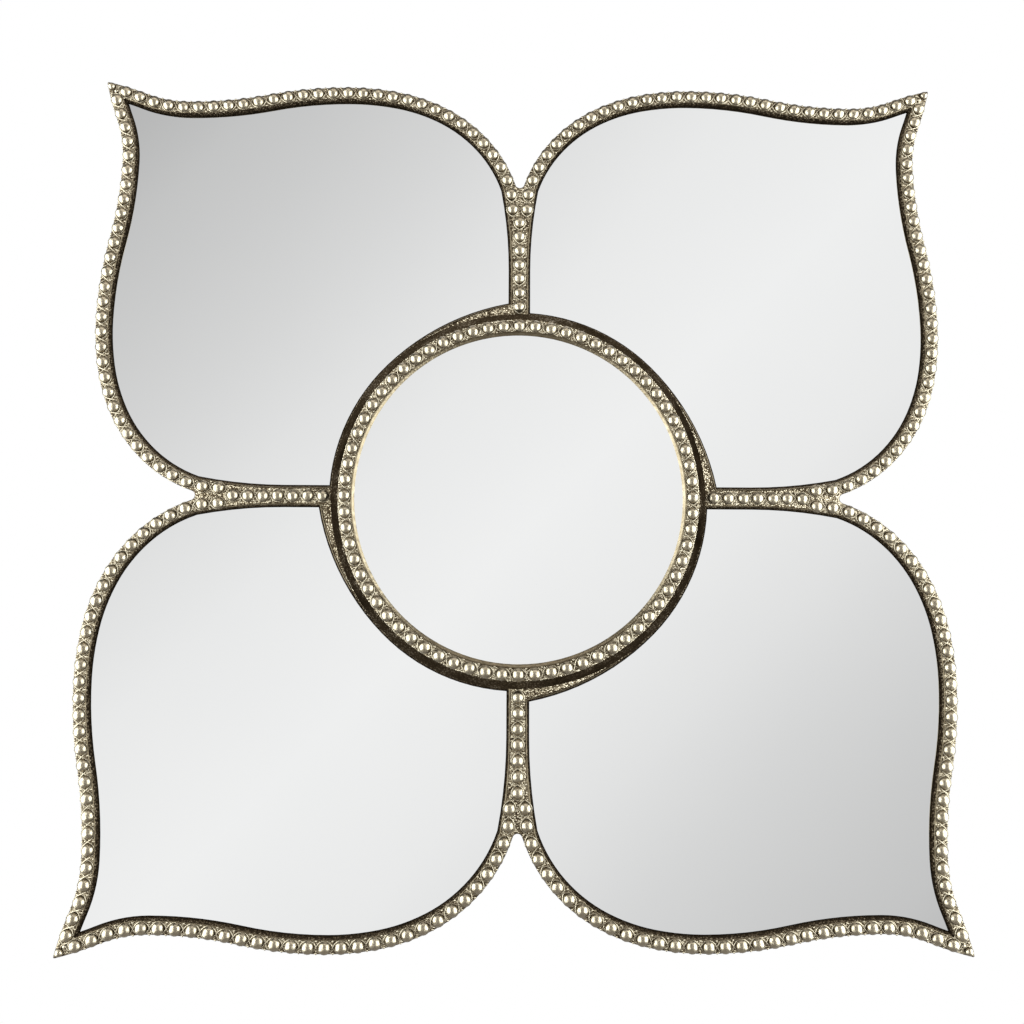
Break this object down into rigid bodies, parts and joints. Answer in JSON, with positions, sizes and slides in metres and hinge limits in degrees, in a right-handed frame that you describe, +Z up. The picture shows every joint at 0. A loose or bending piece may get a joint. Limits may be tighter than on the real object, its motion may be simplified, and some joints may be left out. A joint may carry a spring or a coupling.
{
  "type": "flower wall mirror",
  "caption": "Wall mirror in the shape of a flower: leaf-shaped petal mirrors round a raised round mirror, in a dark wooden frame faced with beaded antique silver metal.",
  "frame": {"origin": "on the wall, behind the middle of the flower", "axes": "+Z up, +X to the viewer's right, +Y into the wall, so the front faces -Y"},
  "size_m": [0.914, 0.0446, 0.914],
  "materials": {
    "antique_silver": "pressed sheet, darkened in the hollows and rubbed bright on the beads",
    "frame_wood": "dark stain, satin",
    "riser_wood": "black-brown paint, satin",
    "mirror_glass": "clear silvered glass",
    "filler_board": "expanded plastic board, cut by hand",
    "back_board": "hardboard, smooth side out",
    "steel": "zinc-plated steel",
    "rubber": "matt"
  },
  "bodies": {
    "frame": {"frame_core": "frame_wood", "ring_riser": "riser_wood", "hub_facing": "antique_silver", "ring_facing": "antique_silver", "stem_beading": "antique_silver", "ring_beading": "antique_silver", "petal_facing_upper_right": "antique_silver", "petal_facing_lower_right": "antique_silver", "petal_facing_lower_left": "antique_silver", "petal_facing_upper_left": "antique_silver", "petal_beading_upper_right": "antique_silver", "petal_beading_lower_right": "antique_silver", "petal_beading_lower_left": "antique_silver", "petal_beading_upper_left": "antique_silver", "centre_glass": "mirror_glass", "petal_glass_upper_right": "mirror_glass", "petal_glass_lower_right": "mirror_glass", "petal_glass_lower_left": "mirror_glass", "petal_glass_upper_left": "mirror_glass", "petal_filler_upper_right": "filler_board", "petal_filler_lower_right": "filler_board", "petal_filler_lower_left": "filler_board", "petal_filler_upper_left": "filler_board", "petal_back_upper_right": "back_board", "petal_back_lower_right": "back_board", "petal_back_lower_left": "back_board", "petal_back_upper_left": "back_board", "glazing_points": "steel", "ring_screws": "steel", "hanger_screws": "steel", "hanger_strap_left": "steel", "hanger_strap_right": "steel", "wall_bumper_upper_right": "rubber", "wall_bumper_lower_right": "rubber", "wall_bumper_lower_left": "rubber", "wall_bumper_upper_left": "rubber"},
    "ring_left": {"hanger_ring_left": "steel"},
    "ring_right": {"hanger_ring_right": "steel"}
  },
  "joints": [
    {"name": "ring_left_hinge", "type": "hinge", "parent": "frame", "child": "ring_left", "pos_m": [-0.112, -0.00342, 0.13], "axis": [1, 0, 0], "range_deg": [0, 174]},
    {"name": "ring_right_hinge", "type": "hinge", "parent": "frame", "child": "ring_right", "pos_m": [0.112, -0.00342, 0.13], "axis": [1, 0, 0], "range_deg": [0, 174]}
  ]
}
